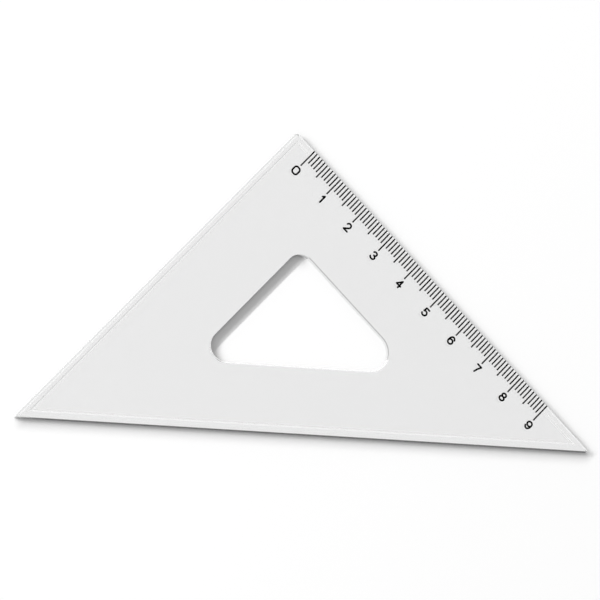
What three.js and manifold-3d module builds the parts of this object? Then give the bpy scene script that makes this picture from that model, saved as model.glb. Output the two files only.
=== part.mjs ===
// A 45 degree drafting triangle: one clear moulded plate with three bevelled sides and a hand
// hole, and a centimetre scale of recessed lines and numerals filled with black paint.
// Millimetres, +Z up. The origin is the centre of the footprint, on the underside. The
// hypotenuse runs along X at the front, the right angle points to +Y, and the scale runs down
// the right leg.

import * as THREE from "three";
import { mergeVertices } from "three/addons/utils/BufferGeometryUtils.js";
import Module from "manifold-3d";

// Plate
const hypotenuse = 160;
const plateThickness = 1.5;
const bevelWidth = 1.6;
const bevelDrop = 0.3;
const footChamfer = 0.15;
const apexRadius = 1.2;
const tipRadius = 0.3;
const creaseRadius = 0.1;

// Hand hole: margins to the sharp sides of the plate, then its own corners and edges
const holeLegMargin = 21.9;
const holeBaseMargin = 17.95;
const holeRightRadius = 5.1;
const holeApexRadius = 3.8;
const holeLeftRadius = 4.1;
const holeChamfer = 0.45;

// Scale: the first line is measured from the sharp right angle, along the right leg
const scaleStart = 6.8;
const scaleEndMargin = 16;
const division = 1;
const divisionsPerHalf = 5;
const divisionsPerCentimetre = 10;
const divisionLength = 3.85;
const halfLength = 4.9;
const centimetreLength = 5.85;
const lineWidth = 0.38;

// Numerals
const numeralHeight = 2.65;
const numeralWidth = 1.85;
const numeralStroke = 0.48;
const numeralGap = 0.6;
const numeralSpacing = 0.3;

// Marks: how deep each recess is, how far its paint stands proud, and the gap between them
const markDepth = 0.1;
const markRelief = 0.03;
const markClearance = 0.02;

// How far a cutter runs past what it cuts
const overrun = 1;

// How finely arcs are drawn
const stepsPerTurn = 48;
const numeralStepsPerTurn = 24;
const capSteps = 6;

// Derived sizes
const height = hypotenuse / 2;
const leg = hypotenuse / Math.SQRT2;
const edgeThickness = plateThickness - bevelDrop;
const apexRetreat = apexRadius * (Math.SQRT2 - 1);
const baseY = -(height - apexRetreat) / 2;
const apexY = baseY + height;
const scaleLength = leg - scaleStart - scaleEndMargin;
const centimetres = Math.floor(scaleLength / (division * divisionsPerCentimetre));
const divisions = centimetres * divisionsPerCentimetre;
const numeralOffset = centimetreLength + numeralGap + numeralHeight / 2;

// The plate is cut by the same frame that carries the paint: its origin is the sharp right
// angle, its X runs down the right leg and its Y points out of that leg's side.
const scaleFrame = new THREE.Matrix4()
  .makeTranslation(0, apexY, 0)
  .multiply(new THREE.Matrix4().makeRotationZ(-Math.PI / 4));

// Strokes of the numerals 0 to 9, as shares of a box from the lowest to the highest and from
// the leftmost to the rightmost middle of a stroke, which the broad 0 passes on both sides.
// Two shares are a point. Six are an arc: its centre, its two radii, and where it starts and
// ends as shares of a turn. A closed path ends where it starts.
const numeralShares = [
  [
    {
      closed: true,
      path: [
        [0.66, 0.66, 0.46, 0.34, 0, 0.25],
        [0.34, 0.66, 0.46, 0.34, 0.25, 0.5],
        [0.34, 0.34, 0.46, 0.34, 0.5, 0.75],
        [0.66, 0.34, 0.46, 0.34, 0.75, 1],
        [1.12, 0.66],
      ],
    },
  ],
  [{ path: [[0.3, 0.76], [0.66, 1]] }, { path: [[0.66, 1], [0.66, 0]] }],
  [{ path: [[0.5, 0.7, 0.46, 0.3, 0.46, -0.12], [0.04, 0]] }, { path: [[0.04, 0], [1, 0]] }],
  [
    { path: [[0.5, 0.76, 0.42, 0.24, 0.44, -0.25]] },
    { path: [[0.5, 0.26, 0.5, 0.26, 0.25, -0.44]] },
  ],
  [
    { path: [[0.72, 0], [0.72, 1]] },
    { path: [[0.72, 1], [0, 0.3]] },
    { path: [[0, 0.3], [1, 0.3]] },
  ],
  [
    { path: [[0.92, 1], [0.2, 1]] },
    { path: [[0.2, 1], [0.12, 0.54]] },
    { path: [[0.48, 0.32, 0.5, 0.32, 0.38, -0.43]] },
  ],
  [
    { closed: true, path: [[0.5, 0.31, 0.5, 0.31, 0, 1]] },
    { path: [[0, 0.31], [0.54, 0.5, 0.54, 0.5, 0.5, 0.09]] },
  ],
  [{ path: [[0, 1], [1, 1]] }, { path: [[1, 1], [0.62, 0.52], [0.42, 0]] }],
  [
    { closed: true, path: [[0.5, 0.765, 0.42, 0.235, 0, 1]] },
    { closed: true, path: [[0.5, 0.265, 0.5, 0.265, 0, 1]] },
  ],
  [
    { closed: true, path: [[0.5, 0.69, 0.5, 0.31, 0, 1]] },
    { path: [[1, 0.69], [0.46, 0.5, 0.54, 0.5, 0, -0.41]] },
  ],
];

const wasm = await Module();
wasm.setup();

// A closed three.js geometry as a solid that can be joined and cut.
function solidOf(geometry) {
  const bare = geometry.clone();
  bare.deleteAttribute("normal");
  bare.deleteAttribute("uv");
  const merged = mergeVertices(bare);
  return new wasm.Manifold(
    new wasm.Mesh({
      numProp: 3,
      vertProperties: merged.getAttribute("position").array,
      triVerts: new Uint32Array(merged.index.array),
    }),
  );
}

// A solid back as a geometry with flat facets.
function geometryOf(solid) {
  const mesh = solid.getMesh();
  const indexed = new THREE.BufferGeometry();
  indexed.setAttribute("position", new THREE.BufferAttribute(mesh.vertProperties, 3));
  indexed.setIndex(new THREE.BufferAttribute(mesh.triVerts, 1));
  const geometry = indexed.toNonIndexed();
  geometry.computeVertexNormals();
  return geometry;
}

// Corners of a right isosceles triangle, counterclockwise from the right one.
function cornersOf({ apex, base }) {
  const half = apex - base;
  return [
    new THREE.Vector2(half, base),
    new THREE.Vector2(0, apex),
    new THREE.Vector2(-half, base),
  ];
}

// The triangle whose sides lie inside those of another by one distance, outside if negative.
function insetOf({ apex, base }, distance) {
  return { apex: apex - distance * Math.SQRT2, base: base + distance };
}

// One level of a plate: the triangle inset by a distance, with an arc at each corner. An arc
// keeps its centre as the sides move in, until it is as small as the crease's own corner.
function ringOf(triangle, cornerRadii, inset, z) {
  const inner = insetOf(triangle, inset);
  const startAngles = [-Math.PI / 2, Math.PI / 4, (3 * Math.PI) / 4];
  const endAngles = [Math.PI / 4, (3 * Math.PI) / 4, (3 * Math.PI) / 2];
  return cornerRadii.flatMap((cornerRadius, k) => {
    const radius = Math.max(cornerRadius - inset, creaseRadius);
    const centre = cornersOf(insetOf(inner, radius))[k];
    const sweep = endAngles[k] - startAngles[k];
    const steps = Math.ceil((stepsPerTurn * sweep) / (2 * Math.PI));
    return Array.from({ length: steps + 1 }, (_, i) => {
      const angle = startAngles[k] + (sweep * i) / steps;
      const x = centre.x + radius * Math.cos(angle);
      const y = centre.y + radius * Math.sin(angle);
      return new THREE.Vector3(x, y, z);
    });
  });
}

// A closed body through rings of equally many points, from the lowest to the highest.
function loftOf(rings) {
  const count = rings[0].length;
  const index = [];
  for (let level = 0; level + 1 < rings.length; level += 1) {
    for (let i = 0; i < count; i += 1) {
      const low = level * count + i;
      const lowNext = level * count + ((i + 1) % count);
      index.push(low, lowNext, lowNext + count, low, lowNext + count, low + count);
    }
  }
  const top = (rings.length - 1) * count;
  for (let i = 1; i + 1 < count; i += 1) {
    index.push(0, i + 1, i);
    index.push(top, top + i, top + i + 1);
  }
  const geometry = new THREE.BufferGeometry().setFromPoints(rings.flat());
  geometry.setIndex(index);
  return geometry;
}

// The bare plate: chamfered foot, upright edge and bevel, up to the flat face.
function plateBlank() {
  const outline = { apex: apexY, base: baseY };
  const radii = [tipRadius, apexRadius, tipRadius];
  return loftOf([
    ringOf(outline, radii, footChamfer, 0),
    ringOf(outline, radii, 0, footChamfer),
    ringOf(outline, radii, 0, edgeThickness),
    ringOf(outline, radii, bevelWidth, plateThickness),
  ]);
}

// What the hand hole takes away: upright sides, opened by a chamfer at both faces. Each
// chamfer runs on at 45 degrees past its face.
function holeCutter() {
  const outline = {
    apex: apexY - holeLegMargin * Math.SQRT2,
    base: baseY + holeBaseMargin,
  };
  const radii = [holeRightRadius, holeApexRadius, holeLeftRadius];
  return loftOf([
    ringOf(outline, radii, -footChamfer - overrun, -overrun),
    ringOf(outline, radii, 0, footChamfer),
    ringOf(outline, radii, 0, plateThickness - holeChamfer),
    ringOf(outline, radii, -holeChamfer - overrun, plateThickness + overrun),
  ]);
}

// Height of the plate's upper surface at a distance in from the side, the bevel's slope
// carried on outside it.
function surfaceHeight(inward) {
  const climb = (bevelDrop * inward) / bevelWidth;
  return Math.min(edgeThickness + climb, plateThickness);
}

// A bar square to the side, from one distance in to another. It follows the bevel and the
// face between two levels, which are measured up from the surface.
function lineBar(from, to, low, high, width) {
  const stations = [from, bevelWidth, to].filter((s) => s <= to);
  const under = stations.map((s) => new THREE.Vector2(-s, surfaceHeight(s) + low));
  const over = stations.map((s) => new THREE.Vector2(-s, surfaceHeight(s) + high));
  const section = new THREE.Shape([...under, ...over.reverse()]);
  const bar = new THREE.ExtrudeGeometry(section, { depth: width, bevelEnabled: false });
  bar.translate(0, 0, -width / 2);
  // The section's X and Y become the frame's Y and Z, and its length the frame's X.
  bar.applyMatrix4(
    new THREE.Matrix4().makeBasis(
      new THREE.Vector3(0, 1, 0),
      new THREE.Vector3(0, 0, 1),
      new THREE.Vector3(1, 0, 0),
    ),
  );
  return bar;
}

// The middle of one stroke of a numeral, in millimetres from the numeral's centre.
function strokePoints(path) {
  const wide = numeralWidth - numeralStroke;
  const high = numeralHeight - numeralStroke;
  const place = (x, y) => new THREE.Vector2((x - 0.5) * wide, (y - 0.5) * high);
  return path.flatMap((entry) => {
    if (entry.length === 2) {
      return [place(...entry)];
    }
    const [x, y, radiusX, radiusY, start, end] = entry;
    const steps = Math.ceil(Math.abs(end - start) * numeralStepsPerTurn);
    return Array.from({ length: steps + 1 }, (_, i) => {
      const angle = 2 * Math.PI * (start + ((end - start) * i) / steps);
      return place(x + radiusX * Math.cos(angle), y + radiusY * Math.sin(angle));
    });
  });
}

// The points moved sideways by a distance, to the left of the way they run.
function offsetPoints(points, closed, distance) {
  const count = points.length;
  return points.map((point, i) => {
    const before = closed ? points[(i + count - 1) % count] : points[Math.max(i - 1, 0)];
    const after = closed ? points[(i + 1) % count] : points[Math.min(i + 1, count - 1)];
    const way = after.clone().sub(before).normalize();
    return new THREE.Vector2(point.x - way.y * distance, point.y + way.x * distance);
  });
}

// Half a circle round a stroke's end, from its left side to its right.
function roundCap(end, way, radius) {
  const left = Math.atan2(way.y, way.x) + Math.PI / 2;
  return Array.from({ length: capSteps - 1 }, (_, i) => {
    const angle = left - (Math.PI * (i + 1)) / capSteps;
    const x = end.x + radius * Math.cos(angle);
    const y = end.y + radius * Math.sin(angle);
    return new THREE.Vector2(x, y);
  });
}

// The outline of one stroke: a ring if it is closed, else a band with round ends.
function strokeShape({ path, closed = false }, halfWidth) {
  const points = strokePoints(path);
  if (closed) {
    const loop = points.slice(0, -1);
    const ring = new THREE.Shape(offsetPoints(loop, true, -halfWidth));
    ring.holes.push(new THREE.Path(offsetPoints(loop, true, halfWidth)));
    return ring;
  }
  const last = points.length - 1;
  const wayOut = points[last].clone().sub(points[last - 1]);
  const wayBack = points[0].clone().sub(points[1]);
  return new THREE.Shape([
    ...offsetPoints(points, false, halfWidth),
    ...roundCap(points[last], wayOut, halfWidth),
    ...offsetPoints(points, false, -halfWidth).reverse(),
    ...roundCap(points[0], wayBack, halfWidth),
  ]);
}

// One digit as a solid between two levels, its strokes widened by a margin on each side.
function digitSolid(digit, low, high, margin) {
  const depth = high - low;
  const halfWidth = numeralStroke / 2 + margin;
  const strokes = numeralShares[digit].map((stroke) => {
    const shape = strokeShape(stroke, halfWidth);
    const band = new THREE.ExtrudeGeometry(shape, { depth, bevelEnabled: false });
    band.translate(0, 0, low);
    return solidOf(band);
  });
  return strokes.reduce((whole, stroke) => whole.add(stroke));
}

// Every line of the scale: how many divisions from zero, and how long.
function scaleLines() {
  return Array.from({ length: divisions + 1 }, (_, count) => {
    if (count % divisionsPerCentimetre === 0) {
      return { count, length: centimetreLength, kind: "centimetre" };
    }
    if (count % divisionsPerHalf === 0) {
      return { count, length: halfLength, kind: "half_centimetre" };
    }
    return { count, length: divisionLength, kind: "division" };
  });
}

// Every digit of the scale: its centimetre, and its place in the scale's frame. Digits of a
// longer number stand side by side about their line.
function scaleDigits() {
  const pitch = numeralWidth + numeralSpacing;
  return Array.from({ length: centimetres + 1 }, (_, centimetre) => {
    const text = String(centimetre);
    const middle = scaleStart + centimetre * divisionsPerCentimetre * division;
    return [...text].map((character, i) => ({
      name: text.length > 1 ? `numeral_${text}_digit_${i + 1}` : `numeral_${text}`,
      digit: Number(character),
      x: middle + (i - (text.length - 1) / 2) * pitch,
      y: -numeralOffset,
    }));
  }).flat();
}

// The plate with its hand hole and the recess of every mark.
function plateGeometry() {
  let plate = solidOf(plateBlank()).subtract(solidOf(holeCutter()));
  for (const { count, length } of scaleLines()) {
    const width = lineWidth + 2 * markClearance;
    const recess = lineBar(-overrun, length + markClearance, -markDepth, overrun, width);
    recess.translate(scaleStart + count * division, 0, 0);
    plate = plate.subtract(solidOf(recess.applyMatrix4(scaleFrame)));
  }
  for (const { digit, x, y } of scaleDigits()) {
    const low = plateThickness - markDepth;
    const cutter = geometryOf(
      digitSolid(digit, low, plateThickness + overrun, markClearance),
    );
    cutter.translate(x, y, 0);
    plate = plate.subtract(solidOf(cutter.applyMatrix4(scaleFrame)));
  }
  return geometryOf(plate);
}

function clearPlastic() {
  return new THREE.MeshStandardMaterial({ color: 0xe9e9e9, roughness: 0.12, metalness: 0 });
}

function blackPaint() {
  return new THREE.MeshStandardMaterial({ color: 0x161616, roughness: 0.55, metalness: 0 });
}

function namedMesh(name, geometry, material) {
  const mesh = new THREE.Mesh(geometry, material);
  mesh.name = name;
  return mesh;
}

// The paint in the centimetre and half-centimetre lines. The millimetre lines between them
// are recesses of the plate.
function linePaint() {
  return scaleLines()
    .filter(({ kind }) => kind !== "division")
    .map(({ count, length, kind }) => {
      const floor = markClearance - markDepth;
      const bar = lineBar(markClearance, length, floor, markRelief, lineWidth);
      const centimetre = Math.floor(count / divisionsPerCentimetre);
      const mesh = namedMesh(`${kind}_line_${centimetre}`, bar, blackPaint());
      mesh.position.x = scaleStart + count * division;
      return mesh;
    });
}

// The paint in the numerals.
function numeralPaint() {
  const low = plateThickness - markDepth + markClearance;
  return scaleDigits().map(({ name, digit, x, y }) => {
    const solid = digitSolid(digit, low, plateThickness + markRelief, 0);
    const mesh = namedMesh(name, geometryOf(solid), blackPaint());
    mesh.position.set(x, y, 0);
    return mesh;
  });
}

const scale = new THREE.Group();
scale.name = "scale";
scale.add(...linePaint(), ...numeralPaint());
scale.applyMatrix4(scaleFrame);

const draftingTriangle = new THREE.Group();
draftingTriangle.name = "drafting_triangle";
draftingTriangle.add(namedMesh("plate", plateGeometry(), clearPlastic()), scale);

export default draftingTriangle;
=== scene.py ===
import math

import bpy
import numpy as np
from mathutils import Matrix, Vector


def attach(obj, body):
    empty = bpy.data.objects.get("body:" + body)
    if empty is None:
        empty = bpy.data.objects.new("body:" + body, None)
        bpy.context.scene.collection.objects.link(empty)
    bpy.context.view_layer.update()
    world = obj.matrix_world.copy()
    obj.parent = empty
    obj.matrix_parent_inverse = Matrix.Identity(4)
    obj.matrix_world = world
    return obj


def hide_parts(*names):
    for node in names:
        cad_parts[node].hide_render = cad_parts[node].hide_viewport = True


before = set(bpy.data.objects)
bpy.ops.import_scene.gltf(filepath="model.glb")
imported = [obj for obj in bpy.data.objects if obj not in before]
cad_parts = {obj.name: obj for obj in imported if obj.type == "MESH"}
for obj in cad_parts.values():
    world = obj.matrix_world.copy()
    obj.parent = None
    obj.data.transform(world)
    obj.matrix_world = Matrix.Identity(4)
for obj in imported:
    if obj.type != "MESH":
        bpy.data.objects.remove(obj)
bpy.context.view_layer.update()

# A 45 degree drafting triangle: one clear moulded plate with bevelled sides and a hand hole, and a
# centimetre scale in black paint down its right leg. Sizes are in millimetres, in the packed
# model's frame, and MM takes them to Blender's metres.
MM = 0.001

# Plate
HYPOTENUSE = 160
THICKNESS = 1.5
BEVEL_WIDTH = 1.6
BEVEL_DROP = 0.3
FOOT_RADIUS = 0.15
EDGE_RADIUS = 0.1
LIP_START = 0.5
LIP_END = 0.75
LIP_RISE = 0.04
LIP_SWELL = 0.004
LIP_RADIUS = 0.2
CREASE_WIDTH = 0.6
CREASE_DEPTH = 0.075
CREASE_RADIUS = 0.1
APEX_RADIUS = 1.2
TIP_RADIUS = 0.3
LEAST_RADIUS = 0.1

# Hand hole: margins to the plate's sharp sides, then its own corners and rims
HOLE_LEG_MARGIN = 21.9
HOLE_BASE_MARGIN = 17.95
HOLE_RIGHT_RADIUS = 5.1
HOLE_APEX_RADIUS = 3.8
HOLE_LEFT_RADIUS = 4.1
HOLE_RIM_RADIUS = 0.6

# Millimetre lines of the scale
SCALE_START = 6.8
DIVISION = 1
DIVISIONS = 90
DIVISIONS_PER_HALF = 5
LINE_LENGTH = 3.85
LINE_WIDTH = 0.38
LINE_RIM_RADIUS = 0.03
MARK_DEPTH = 0.08
MARK_RELIEF = 0.03
MARK_CLEARANCE = 0.02

# Drawing board: half its width, and how far it lies below the plate, so that the two faces
# never share a plane
BOARD_HALF = 6000
BOARD_DROP = 0.01

# Patterns in the surfaces: how wide each one is, and how deep
FLOW_LENGTH = 20
FLOW_DEPTH = 0.01
SCRATCH_SPACING = 0.1
SCRATCH_DEPTH = 0.005
DRYING_LENGTH = 1.2
GRAIN_WIDTH = 0.15
GRAIN_DEPTH = 0.01

# The plate's finishes, in the order of its material slots. All but FACE and WALL carry painted
# light
# or shade: shade painted by the way a surface faces, painted highlights and painted shade lines.
FACE, EDGE, RIM, WALL, CREASE, PAINTED_SHADE_LINE, LIP, BEND = range(8)
# The ways an outline faces, in degrees from +X: the scale's leg, the bend at the right angle, the
# other leg, the bend beyond it, and the base. Each strip takes the nearest one's finish.
FACINGS = [45, 60, 135, 245, 270]

# How the scored finishes take painted light and shade. Their tone turns from painted shade to
# painted light over TURN_REACH of the cosine of their angle to BRIGHT_SIDE. From the left tip's X
# they are painted pale by TIP_PALE at least, which fades out over TIP_FADE.
BRIGHT_SIDE = (0.5, 0.866, 0)
TURN_REACH = 0.4
TIP_X = -79.6
TIP_FADE = 7.0
TIP_PALE = 0.8

# What the clear plastic passes on of the lamps' light: through its level faces, and through the
# upright ones that are turned away from LIT_SIDE. LEVEL is the least share of a level face's
# normal that points up or down, and LIT_REACH is where an upright face counts as turned.
FACE_PASSES = "F5F5F5"
EDGE_PASSES = "404040"
LIT_SIDE = (-0.924, 0.383, 0)
LIT_REACH = 0.1
LEVEL = 0.95

# Light: a long strip and a broad panel of lamps hang level, facing down, low on the left of the
# picture, under a pale sky. PICTURE_LEFT is the way from the board's middle to the strip, and
# the strip runs square to it. Places and sizes of lamps are in metres.
PICTURE_LEFT = Vector((-math.sqrt(0.5), math.sqrt(0.5), 0))
ALONG_STRIP = Vector((-math.sqrt(0.5), -math.sqrt(0.5), 0))
LAMP_HEIGHT = 3
LAMP_SAMPLES = 41
STRIP = {"share": 0.33, "away": 6.93, "along": 0.36, "width": 0.42, "length": 14.3}
PANEL = {"share": 0.275, "away": 6.27, "along": 3.12, "width": 3.18, "length": 4.02}
SKY_SHARE = 0.41
SKY_LEVEL = 1.27
SKY_SLOPE = (-0.116, 0.052, 0)

# Camera: where it stands, what lies at the middle of the picture and which way is up in it, then
# its sensor and focal length, and how many metres it sees
CAMERA_PLACE = Vector((-1159.724, -674.642, 2800.83))
CAMERA_AIM = Vector((-0.4199, -4.3945, 1.5))
CAMERA_UP = Vector((-0.060953, 0.976127, 0.208473))
SENSOR_WIDTH = 36
FOCAL_LENGTH = 721.4
SIGHT = 100

# How finely arcs are drawn: steps in each round corner, and in each small round of a section
CORNER_STEPS = 28
ROUND_STEPS = 6

# Derived sizes
HEIGHT = HYPOTENUSE / 2
EDGE_THICKNESS = THICKNESS - BEVEL_DROP
APEX_RETREAT = APEX_RADIUS * (math.sqrt(2) - 1)
BASE_Y = -(HEIGHT - APEX_RETREAT) / 2
APEX_Y = BASE_Y + HEIGHT


def linear(hex_colour):
    """sRGB hex to the linear RGBA that sockets take."""
    value = np.array([int(hex_colour[i : i + 2], 16) for i in (0, 2, 4)]) / 255
    low, high = value / 12.92, ((value + 0.055) / 1.055) ** 2.4
    return (*np.where(value <= 0.04045, low, high).tolist(), 1.0)


def add(tree, kind, settings=(), links=()):
    """One node. A setting is (name, value): a property if the node has one, else an input, by name
    or by number. A link is (input, output socket)."""
    node = tree.nodes.new(kind)
    for name, value in settings:
        if isinstance(name, str) and hasattr(node, name):
            setattr(node, name, value)
        else:
            node.inputs[name].default_value = value
    for name, source in links:
        tree.links.new(source, node.inputs[name])
    return node


def triangle_ring(apex_y, base_y, radii, inset):
    """A right isosceles triangle with its long side at base_y and its right angle at apex_y, all
    sides moved in by inset. Each corner is an arc whose centre is where the sides meet when they
    are moved in by its radius as well. Its radius shrinks with the inset down to a least one.
    Returns the points and the outward directions, corner by corner, anticlockwise."""
    start = np.radians([-90, 45, 135])
    end = np.radians([45, 135, 270])
    radius = np.maximum(np.array(radii, float) - inset, LEAST_RADIUS)
    moved = inset + radius
    apex, base = apex_y - moved * math.sqrt(2), base_y + moved
    half = apex - base
    centre = np.stack(
        [np.array([1, 0, -1]) * half, np.where([False, True, False], apex, base)], axis=1
    )
    angle = np.linspace(start, end, CORNER_STEPS + 1, axis=1)
    outward = np.stack([np.cos(angle), np.sin(angle)], axis=-1)
    points = centre[:, None] + radius[:, None, None] * outward
    return points.reshape(-1, 2), outward.reshape(-1, 2)


def rounded_section(corners, radii):
    """An open section in (inward, up), its inner corners swapped for arcs that touch both sides.
    An arc of radius r at a turn of angle a starts r tan(a / 2) before the corner. Returns the
    points, their outward normals, which are a quarter turn to the left of the way the section
    runs, and how many strips each of its parts takes. The parts are a side, then the three thirds
    of a round, then a side again, and so on."""
    corners = np.array(corners, float)
    way = np.diff(corners, axis=0)
    way /= np.linalg.norm(way, axis=1, keepdims=True)
    heading = np.unwrap(np.arctan2(way[:, 1], way[:, 0]))
    turn = np.diff(heading)
    radius = np.array(radii, float)
    begin = corners[1:-1] - way[:-1] * (radius * np.tan(np.abs(turn) / 2))[:, None]
    side = np.sign(turn)
    left = np.stack([-way[:-1, 1], way[:-1, 0]], axis=1)
    centre = begin + left * (side * radius)[:, None]
    angle = heading[:-1, None] + turn[:, None] * np.linspace(0, 1, ROUND_STEPS + 1)
    normal = np.stack([-np.sin(angle), np.cos(angle)], axis=-1)
    arcs = centre[:, None] - normal * (side * radius)[:, None, None]
    ends = np.stack([[-way[0, 1], way[0, 0]], [-way[-1, 1], way[-1, 0]]])
    points = np.concatenate([corners[:1], arcs.reshape(-1, 2), corners[-1:]])
    normals = np.concatenate([ends[:1], normal.reshape(-1, 2), ends[1:]])
    third = ROUND_STEPS // 3
    return points, normals, [1, *[third, third, third, 1] * len(radii)]


def band(section, normals, apex_y, base_y, radii):
    """A section carried along a triangle's outline: each of its points is a ring, inset by its
    first coordinate and raised by its second. The normals turn with the outline's outward
    direction. Returns positions and normals, ring by ring."""
    rings = [triangle_ring(apex_y, base_y, radii, inset) for inset, _ in section]
    flat = np.stack([points for points, _ in rings])
    outward = np.stack([out for _, out in rings])
    up = np.broadcast_to(section[:, None, 1:], (*flat.shape[:2], 1))
    across = -normals[:, None, :1] * outward
    rise = np.broadcast_to(normals[:, None, 1:], up.shape)
    return np.concatenate([flat, up], axis=-1), np.concatenate([across, rise], axis=-1)


def closed_grid_faces(rows, columns):
    """Quads of a grid that closes on itself both ways, each turned to face out. A point's number
    is its row times the count of columns, plus its column."""
    row, column = np.meshgrid(np.arange(rows), np.arange(columns), indexing="ij")
    here, beyond = row * columns, (row + 1) % rows * columns
    beside = (column + 1) % columns
    quads = [here + column, here + beside, beyond + beside, beyond + column]
    return np.stack(quads, axis=-1).reshape(-1, 4).tolist()


def mesh_piece(name, points, faces, normals=None):
    """An object at the origin from an array of points in millimetres and a list of faces. With
    normals, it is smooth and shades by them."""
    mesh = bpy.data.meshes.new(name)
    mesh.from_pydata((points * MM).tolist(), [], faces)
    mesh.update()
    if normals is not None:
        mesh.polygons.foreach_set("use_smooth", np.ones(len(mesh.polygons), bool))
        mesh.normals_split_custom_set_from_vertices(normals.tolist())
    piece = bpy.data.objects.new(name, mesh)
    bpy.context.scene.collection.objects.link(piece)
    return piece


def all_round(finish):
    """The same finish whichever way the outline faces."""
    return (finish,) * len(FACINGS)


def plate_finishes(outer_strips, hole_strips):
    """Each strip's finish, row by row of the plate's grid. In the lists below a row is a part of a
    section, with its finishes in the order of FACINGS. Every finish but FACE and WALL carries
    painted
    light or shade, set side by side: the hole stays clear polished plastic along the leg without a
    scale, and elsewhere carries painted shade, painted shade lines and painted highlights."""
    # In the outer section the side and its round carry shade and light painted by the way they
    # face, the lip and crease carry painted highlights, and the crease along the leg without a
    # scale a painted shade line.
    outer = [
        all_round(FACE),  # underside
        *[all_round(EDGE)] * 4,  # foot and side
        *[(EDGE, EDGE, FACE, EDGE, EDGE)] * 3,  # round on top of the side
        (LIP, FACE, FACE, FACE, FACE),  # up to the lip
        *[all_round(FACE)] * 3,  # start of the lip
        (FACE, FACE, CREASE, FACE, FACE),  # lip
        *[all_round(FACE)] * 4,  # end of the lip and the rest of the bevel
        *[(CREASE, CREASE, PAINTED_SHADE_LINE, CREASE, CREASE)] * 11,  # crease
        all_round(FACE),  # face
    ]
    # In the hole the rim, foot and bend carry painted shade and painted shade lines, and the top
    # of the rim a painted highlight, all but along the leg without a scale.
    hole = [
        all_round(FACE),  # face
        (FACE, FACE, FACE, CREASE, CREASE),  # top of the rim
        (RIM, FACE, FACE, PAINTED_SHADE_LINE, PAINTED_SHADE_LINE),  # middle of the rim
        (WALL, BEND, FACE, FACE, PAINTED_SHADE_LINE),  # foot of the rim
        *[(WALL, BEND, FACE, FACE, WALL)] * 4,  # wall and foot
        all_round(FACE),  # underside
    ]
    by_facing = np.concatenate(
        [
            np.repeat(outer, outer_strips, axis=0),
            [all_round(FACE)],
            np.repeat(hole, hole_strips, axis=0),
            [all_round(FACE)],
        ]
    )
    _, out = triangle_ring(APEX_Y, BASE_Y, [0, 0, 0], 0)
    middle = out + np.roll(out, -1, axis=0)
    ways = np.radians(FACINGS)
    nearest = np.argmax(middle @ np.array([np.cos(ways), np.sin(ways)]), axis=1)
    return by_facing[:, nearest]


def clear_plate():
    """One closed skin: the outer section runs from the underside up the side, over the bevel and
    through the crease to the flat face, and the hole's section runs from the face down its wall
    to the underside. The two flat faces are the strips that join the sections' ends, because
    both outlines have the same corners in the same order."""
    lip_top = EDGE_THICKNESS + LIP_RISE
    slope = (THICKNESS - lip_top) / (BEVEL_WIDTH - LIP_START)
    outer, outer_normals, outer_strips = rounded_section(
        [
            (FOOT_RADIUS * 2, 0),
            (0, 0),
            (0, EDGE_THICKNESS),
            (LIP_START, lip_top),
            (LIP_END, lip_top + slope * (LIP_END - LIP_START) + LIP_SWELL),
            (BEVEL_WIDTH, THICKNESS),
            (BEVEL_WIDTH + CREASE_WIDTH / 2, THICKNESS - CREASE_DEPTH),
            (BEVEL_WIDTH + CREASE_WIDTH, THICKNESS),
            (BEVEL_WIDTH + CREASE_WIDTH * 1.5, THICKNESS),
        ],
        [FOOT_RADIUS, EDGE_RADIUS, *[LIP_RADIUS] * 2, *[CREASE_RADIUS] * 3],
    )
    # The hole lies on the other side of its outline, so its insets are negative.
    hole, hole_normals, hole_strips = rounded_section(
        [(-HOLE_RIM_RADIUS * 2, THICKNESS), (0, THICKNESS), (0, 0), (-FOOT_RADIUS * 2, 0)],
        [HOLE_RIM_RADIUS, FOOT_RADIUS],
    )
    outer_points, outer_out = band(
        outer, outer_normals, APEX_Y, BASE_Y, [TIP_RADIUS, APEX_RADIUS, TIP_RADIUS]
    )
    hole_points, hole_out = band(
        hole,
        hole_normals,
        APEX_Y - HOLE_LEG_MARGIN * math.sqrt(2),
        BASE_Y + HOLE_BASE_MARGIN,
        [HOLE_RIGHT_RADIUS, HOLE_APEX_RADIUS, HOLE_LEFT_RADIUS],
    )
    points = np.concatenate([outer_points, hole_points])
    normals = np.concatenate([outer_out, hole_out])
    rows, columns = points.shape[:2]
    faces = closed_grid_faces(rows, columns)
    piece = mesh_piece("clear_plate", points.reshape(-1, 3), faces, normals.reshape(-1, 3))
    finishes = plate_finishes(outer_strips, hole_strips)
    piece.data.polygons.foreach_set("material_index", finishes.ravel())
    return piece


def upper_surface(inward):
    """Height of the plate at a distance in from its side: up the bevel's slope, then level."""
    return np.minimum(EDGE_THICKNESS + BEVEL_DROP * inward / BEVEL_WIDTH, THICKNESS)


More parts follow.
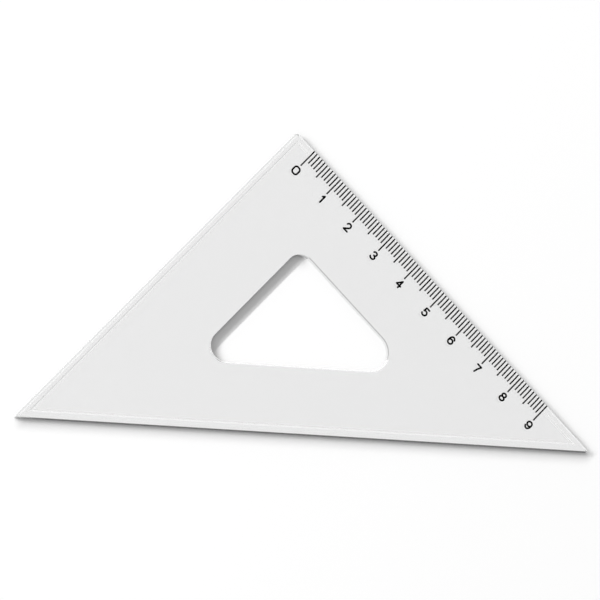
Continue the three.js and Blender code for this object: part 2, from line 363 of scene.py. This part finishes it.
def millimetre_lines():
    """The paint of every line but the half-centimetre and centimetre ones. A line is a closed
    section across it, flat on top with rounded shoulders, carried square to the leg over three
    stations: the plate's side, the bevel's crease and the line's end. Lines differ only in how
    far down the leg they stand, so all of them are one array: line, station, section point."""
    count = np.arange(DIVISIONS + 1)
    count = count[count % DIVISIONS_PER_HALF != 0]
    half, shoulder = LINE_WIDTH / 2, LINE_WIDTH / 2 - LINE_RIM_RADIUS
    section = np.array(
        [
            (-half, -MARK_DEPTH),
            (-half, MARK_RELIEF - LINE_RIM_RADIUS),
            (-shoulder, MARK_RELIEF),
            (shoulder, MARK_RELIEF),
            (half, MARK_RELIEF - LINE_RIM_RADIUS),
            (half, -MARK_DEPTH),
        ]
    )
    station = np.array([MARK_CLEARANCE, BEVEL_WIDTH, LINE_LENGTH])
    shape = (len(count), len(station), len(section))
    along = (SCALE_START + count * DIVISION)[:, None, None] + section[:, 0]
    along = np.broadcast_to(along, shape)
    inward = np.broadcast_to(station[:, None], shape)
    up = np.broadcast_to(upper_surface(station)[:, None] + section[:, 1], shape)
    x = (along - inward) / math.sqrt(2)
    y = APEX_Y - (along + inward) / math.sqrt(2)
    points = np.stack([x, y, up], axis=-1).reshape(-1, 3)

    index = np.arange(len(points)).reshape(shape)
    turned = np.roll(index, -1, axis=2)
    sides = np.stack([index[:, :-1], index[:, 1:], turned[:, 1:], turned[:, :-1]], axis=-1)
    start, end = index[:, 0], index[:, -1, ::-1]
    faces = [*sides.reshape(-1, 4).tolist(), *start.tolist(), *end.tolist()]
    return mesh_piece("millimetre_lines", points, faces)


def material(name):
    """An empty node material and its tree."""
    made = bpy.data.materials.new(name)
    made.use_nodes = True
    made.node_tree.nodes.clear()
    return made, made.node_tree


def let_lamps_through(tree, body, lit_passes):
    """The body shader as the camera, gloss and glass meet it, with a path for the lamps' light to
    the board. A level face passes FACE_PASSES on, and so does any face that the light meets from
    inside. An upright face that it meets from outside passes lit_passes on if it faces the lamps,
    and only EDGE_PASSES if not, which leaves the shadow beside the plate."""
    surface = add(tree, "ShaderNodeNewGeometry")
    normal = surface.outputs["True Normal"]
    up = add(
        tree,
        "ShaderNodeVectorMath",
        [("operation", "DOT_PRODUCT"), (1, (0, 0, 1))],
        [(0, normal)],
    )
    level = add(
        tree,
        "ShaderNodeMath",
        [("operation", "ABSOLUTE")],
        [(0, up.outputs["Value"])],
    )
    flat = add(
        tree,
        "ShaderNodeMath",
        [("operation", "GREATER_THAN"), (1, LEVEL)],
        [(0, level.outputs[0])],
    )
    clear = add(
        tree,
        "ShaderNodeMath",
        [("operation", "MAXIMUM")],
        [(0, flat.outputs[0]), (1, surface.outputs["Backfacing"])],
    )
    side = add(
        tree,
        "ShaderNodeVectorMath",
        [("operation", "DOT_PRODUCT"), (1, LIT_SIDE)],
        [(0, normal)],
    )
    lit = add(
        tree,
        "ShaderNodeMapRange",
        [("From Min", -LIT_REACH), ("From Max", LIT_REACH)],
        [("Value", side.outputs["Value"])],
    )
    upright = add(
        tree,
        "ShaderNodeMix",
        [("data_type", "RGBA"), (6, linear(EDGE_PASSES)), (7, linear(lit_passes))],
        [(0, lit.outputs["Result"])],
    )
    passing = add(
        tree,
        "ShaderNodeMix",
        [("data_type", "RGBA"), (7, linear(FACE_PASSES))],
        [(0, clear.outputs[0]), (6, upright.outputs[2])],
    )
    through = add(tree, "ShaderNodeBsdfTransparent", links=[("Color", passing.outputs[2])])
    path = add(tree, "ShaderNodeLightPath")
    direct = add(
        tree,
        "ShaderNodeMixShader",
        links=[(0, path.outputs["Is Shadow Ray"]), (1, body), (2, through.outputs["BSDF"])],
    )
    bounced = add(
        tree,
        "ShaderNodeMixShader",
        links=[
            (0, path.outputs["Is Diffuse Ray"]),
            (1, direct.outputs["Shader"]),
            (2, through.outputs["BSDF"]),
        ],
    )
    add(tree, "ShaderNodeOutputMaterial", links=[("Surface", bounced.outputs["Shader"])])


def polished_clear_plastic():
    """Clear polystyrene, injection moulded in a polished mould. It is glossy and colourless, so
    the eye sees the white board through it, a little darker. The plastic's flow in the mould
    leaves a faint swell."""
    made, tree = material("injection_moulded_clear_polystyrene")
    place = add(tree, "ShaderNodeTexCoord").outputs["Object"]
    swell = add(
        tree,
        "ShaderNodeTexNoise",
        [("Scale", 1 / (FLOW_LENGTH * MM)), ("Detail", 1.0), ("Roughness", 0.4)],
        [("Vector", place)],
    )
    bump = add(
        tree,
        "ShaderNodeBump",
        [("Strength", 0.3), ("Distance", FLOW_DEPTH * MM)],
        [("Height", swell.outputs["Fac"])],
    )
    body = add(
        tree,
        "ShaderNodeBsdfPrincipled",
        [
            ("Base Color", linear("FAFAFA")),
            ("Roughness", 0.04),
            ("IOR", 1.55),
            ("Transmission Weight", 1.0),
        ],
        [("Normal", bump.outputs["Normal"])],
    )
    let_lamps_through(tree, body.outputs["BSDF"], FACE_PASSES)
    return made


def scored_clear_plastic_with_painted_light(name, cover, dark, pale, lit_passes):
    """The same plastic where the mould was left as the cutter made it, with fine scratches in its
    surface. Over that share of the surface lies a painted tone, and the clear plastic shows
    through the rest. The tone is painted light where the surface faces the bright side, up and to
    the right in the picture, and painted shade where it faces away from it. Towards the left tip
    it is painted paler.
    The lamps' light gets through as it does through the rest of the plate, but for lit_passes on
    the walls that face them."""
    made, tree = material(name)
    place = add(tree, "ShaderNodeTexCoord").outputs["Object"]
    scratches = add(
        tree,
        "ShaderNodeTexNoise",
        [("Scale", 1 / (SCRATCH_SPACING * MM)), ("Detail", 2.0)],
        [("Vector", place)],
    )
    bump = add(
        tree,
        "ShaderNodeBump",
        [("Strength", 0.4), ("Distance", SCRATCH_DEPTH * MM)],
        [("Height", scratches.outputs["Fac"])],
    )
    surface = add(tree, "ShaderNodeNewGeometry")
    turned = add(
        tree,
        "ShaderNodeVectorMath",
        [("operation", "DOT_PRODUCT"), (1, BRIGHT_SIDE)],
        [(0, surface.outputs["Normal"])],
    )
    # The renderer turns the normal of a face that is seen from inside, and this turns it back.
    outside = add(
        tree,
        "ShaderNodeMapRange",
        [("To Min", 1.0), ("To Max", -1.0)],
        [("Value", surface.outputs["Backfacing"])],
    )
    turned = add(
        tree,
        "ShaderNodeMath",
        [("operation", "MULTIPLY")],
        [(0, turned.outputs["Value"]), (1, outside.outputs["Result"])],
    )
    # Painted light and shade: how far the surface faces the bright side sets how pale its tone is.
    white = add(
        tree,
        "ShaderNodeMapRange",
        [("From Min", -TURN_REACH), ("From Max", TURN_REACH)],
        [("Value", turned.outputs[0])],
    )
    across = add(tree, "ShaderNodeSeparateXYZ", links=[(0, place)])
    # Painted light: the tone is made paler towards the left tip.
    tip = add(
        tree,
        "ShaderNodeMapRange",
        [
            ("From Min", TIP_X * MM),
            ("From Max", (TIP_X + TIP_FADE) * MM),
            ("To Min", TIP_PALE),
            ("To Max", 0.0),
        ],
        [("Value", across.outputs["X"])],
    )
    white = add(
        tree,
        "ShaderNodeMath",
        [("operation", "MAXIMUM")],
        [(0, white.outputs["Result"]), (1, tip.outputs["Result"])],
    )
    # The painted tone, between painted shade and painted light.
    tone = add(
        tree,
        "ShaderNodeMix",
        [("data_type", "RGBA"), (6, linear(dark)), (7, linear(pale))],
        [(0, white.outputs[0])],
    )
    body = add(
        tree,
        "ShaderNodeBsdfPrincipled",
        [("Roughness", 0.6), ("Specular IOR Level", 0.0), ("Alpha", cover)],
        [("Base Color", tone.outputs[2]), ("Normal", bump.outputs["Normal"])],
    )
    let_lamps_through(tree, body.outputs["BSDF"], lit_passes)
    return made


def filled_black_paint():
    """Black scale paint, wiped into the moulded marks and left to dry. It is a dense black with
    hardly any sheen, slightly uneven and finely grained where it dried."""
    made, tree = material("wiped_in_black_scale_paint")
    place = add(tree, "ShaderNodeTexCoord").outputs["Object"]
    grain = add(
        tree,
        "ShaderNodeTexNoise",
        [("Scale", 1 / (GRAIN_WIDTH * MM)), ("Detail", 3.0), ("Roughness", 0.6)],
        [("Vector", place)],
    )
    density = add(
        tree,
        "ShaderNodeTexNoise",
        [("Scale", 1 / (DRYING_LENGTH * MM)), ("Detail", 2.0)],
        [("Vector", place)],
    )
    tone = add(
        tree,
        "ShaderNodeMix",
        [("data_type", "RGBA"), (6, linear("030303")), (7, linear("080808"))],
        [(0, density.outputs["Fac"])],
    )
    sheen = add(
        tree,
        "ShaderNodeMapRange",
        [("To Min", 0.38), ("To Max", 0.62)],
        [("Value", density.outputs["Fac"])],
    )
    bump = add(
        tree,
        "ShaderNodeBump",
        [("Strength", 0.4), ("Distance", GRAIN_DEPTH * MM)],
        [("Height", grain.outputs["Fac"])],
    )
    body = add(
        tree,
        "ShaderNodeBsdfPrincipled",
        [("IOR", 1.5), ("Specular IOR Level", 0.03)],
        [
            ("Base Color", tone.outputs[2]),
            ("Roughness", sheen.outputs["Result"]),
            ("Normal", bump.outputs["Normal"]),
        ],
    )
    add(tree, "ShaderNodeOutputMaterial", links=[("Surface", body.outputs["BSDF"])])
    return made


def white_sheet():
    """Smooth white drawing board: even and matt."""
    made, tree = material("matt_white_board")
    body = add(tree, "ShaderNodeBsdfDiffuse", [("Color", linear("FDFDFD"))])
    add(tree, "ShaderNodeOutputMaterial", links=[("Surface", body.outputs["BSDF"])])
    return made


def studio_world():
    """Soft light from the whole sky, a little stronger on the lamps' side. Its strength is
    SKY_LEVEL times the sum of SKY_SHARE and how far the way to it runs along SKY_SLOPE. The
    camera, gloss and glass see plain white in its place."""
    world = bpy.data.worlds.new("soft_studio")
    world.use_nodes = True
    tree = world.node_tree
    tree.nodes.clear()
    way = add(tree, "ShaderNodeTexCoord").outputs["Generated"]
    slope = add(
        tree, "ShaderNodeVectorMath", [("operation", "DOT_PRODUCT"), (1, SKY_SLOPE)], [(0, way)]
    )
    bright = add(tree, "ShaderNodeMath", [(1, SKY_SHARE)], [(0, slope.outputs["Value"])])
    bright = add(
        tree,
        "ShaderNodeMath",
        [("operation", "MULTIPLY"), (1, SKY_LEVEL)],
        [(0, bright.outputs[0])],
    )
    light = add(tree, "ShaderNodeBackground", links=[("Strength", bright.outputs[0])])
    plain = add(tree, "ShaderNodeBackground", [("Color", linear("FDFDFD"))])
    path = add(tree, "ShaderNodeLightPath")
    seen = add(
        tree,
        "ShaderNodeMath",
        [("operation", "MAXIMUM")],
        [(0, path.outputs["Is Camera Ray"]), (1, path.outputs["Is Glossy Ray"])],
    )
    seen = add(
        tree,
        "ShaderNodeMath",
        [("operation", "MAXIMUM")],
        [(0, seen.outputs[0]), (1, path.outputs["Is Transmission Ray"])],
    )
    both = add(
        tree,
        "ShaderNodeMixShader",
        links=[
            (0, seen.outputs[0]),
            (1, light.outputs["Background"]),
            (2, plain.outputs["Background"]),
        ],
    )
    add(tree, "ShaderNodeOutputWorld", links=[("Surface", both.outputs["Shader"])])
    bpy.context.scene.world = world


def hang_lamp(name, share, away, along, width, length):
    """A level area lamp that faces down and gives its share of a white board's full light. At a
    point g lamp heights off to the side the light on the board falls as 1 / (1 + g squared)
    squared, which is averaged over the lamp."""
    steps = np.linspace(-0.5, 0.5, LAMP_SAMPLES)
    off_away = (away + width * steps[:, None]) / LAMP_HEIGHT
    off_along = (along + length * steps) / LAMP_HEIGHT
    reach = np.mean(1 / (1 + off_away**2 + off_along**2) ** 2) / LAMP_HEIGHT**2
    light = bpy.data.lights.new(name, "AREA")
    light.shape = "RECTANGLE"
    light.size, light.size_y = length, width
    light.energy = math.pi**2 * share / reach
    lamp = bpy.data.objects.new(name, light)
    stand = PICTURE_LEFT * away + ALONG_STRIP * along + Vector((0, 0, LAMP_HEIGHT))
    up = Vector((0, 0, 1))
    turn = Matrix((ALONG_STRIP, up.cross(ALONG_STRIP), up)).transposed().to_4x4()
    lamp.matrix_world = Matrix.Translation(stand) @ turn
    bpy.context.scene.collection.objects.link(lamp)


def set_camera():
    """A camera at its place, turned so that its back points away from what it aims at."""
    lens = bpy.data.cameras.new("camera")
    lens.sensor_width = SENSOR_WIDTH
    lens.lens = FOCAL_LENGTH
    lens.clip_end = SIGHT
    camera = bpy.data.objects.new("camera", lens)
    back = (CAMERA_PLACE - CAMERA_AIM).normalized()
    right = CAMERA_UP.cross(back).normalized()
    turn = Matrix((right, back.cross(right), back)).transposed().to_4x4()
    camera.matrix_world = Matrix.Translation(CAMERA_PLACE * MM) @ turn
    bpy.context.scene.collection.objects.link(camera)
    bpy.context.scene.camera = camera


plate = clear_plate()
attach(plate, "root")
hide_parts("plate")
plate.data.materials.append(polished_clear_plastic())
# The scored finishes, slot by slot, with their painted light and shade: the share that the
# scratches and their painted tone cover, the darkest tone (painted shade) and the palest (painted
# light), and what the walls on the lamps' side pass on. The edge, hole rim and hole bend carry
# shade painted by the way they face, the crease and lip carry painted highlights, and the grey
# crease a painted shade line. The clear hole wall is nearly untinted.
for name, cover, dark, pale, lit_passes in (
    ("scored_edge_with_painted_light_and_shade", 0.72, "101010", "F0F0F0", FACE_PASSES),
    ("scored_hole_rim_with_painted_light_and_shade", 0.4, "101010", "F0F0F0", FACE_PASSES),
    ("clear_hole_wall_of_clear_polystyrene", 0.05, "F0F0F0", "F0F0F0", "FFFFFF"),
    ("crease_with_painted_highlight_of_clear_polystyrene", 0.3, "F0F0F0", "FAFAFA", FACE_PASSES),
    ("crease_with_painted_shade_line_of_clear_polystyrene", 0.35, "D4D4D4", "DADADA", FACE_PASSES),
    ("lip_with_painted_highlight_of_clear_polystyrene", 0.85, "F0F0F0", "FCFCFC", FACE_PASSES),
    ("hole_bend_with_painted_shade_of_clear_polystyrene", 0.35, "303030", "F0F0F0", FACE_PASSES),
):
    plate.data.materials.append(scored_clear_plastic_with_painted_light(name, cover, dark, pale, lit_passes))

lines = millimetre_lines()
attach(lines, "root")
black_paint = filled_black_paint()
lines.data.materials.append(black_paint)

marks = [node for name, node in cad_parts.items() if name != "plate"]
for mark in marks:
    mark.data.materials.clear()
    mark.data.materials.append(black_paint)
# The marks are too small and shallow to leave a shadow on the board that the eye could find.
for mark in [lines, *marks]:
    mark.visible_shadow = False
    mark.visible_diffuse = False

corners = np.array([(-1, -1, 0), (1, -1, 0), (1, 1, 0), (-1, 1, 0)])
board = mesh_piece("white_board", corners * BOARD_HALF - (0, 0, BOARD_DROP), [[0, 1, 2, 3]])
board.data.materials.append(white_sheet())

studio_world()
hang_lamp("lamp_strip", **STRIP)
hang_lamp("lamp_panel", **PANEL)
set_camera()
bpy.context.scene.view_settings.view_transform = "Standard"

bpy.context.view_layer.update()
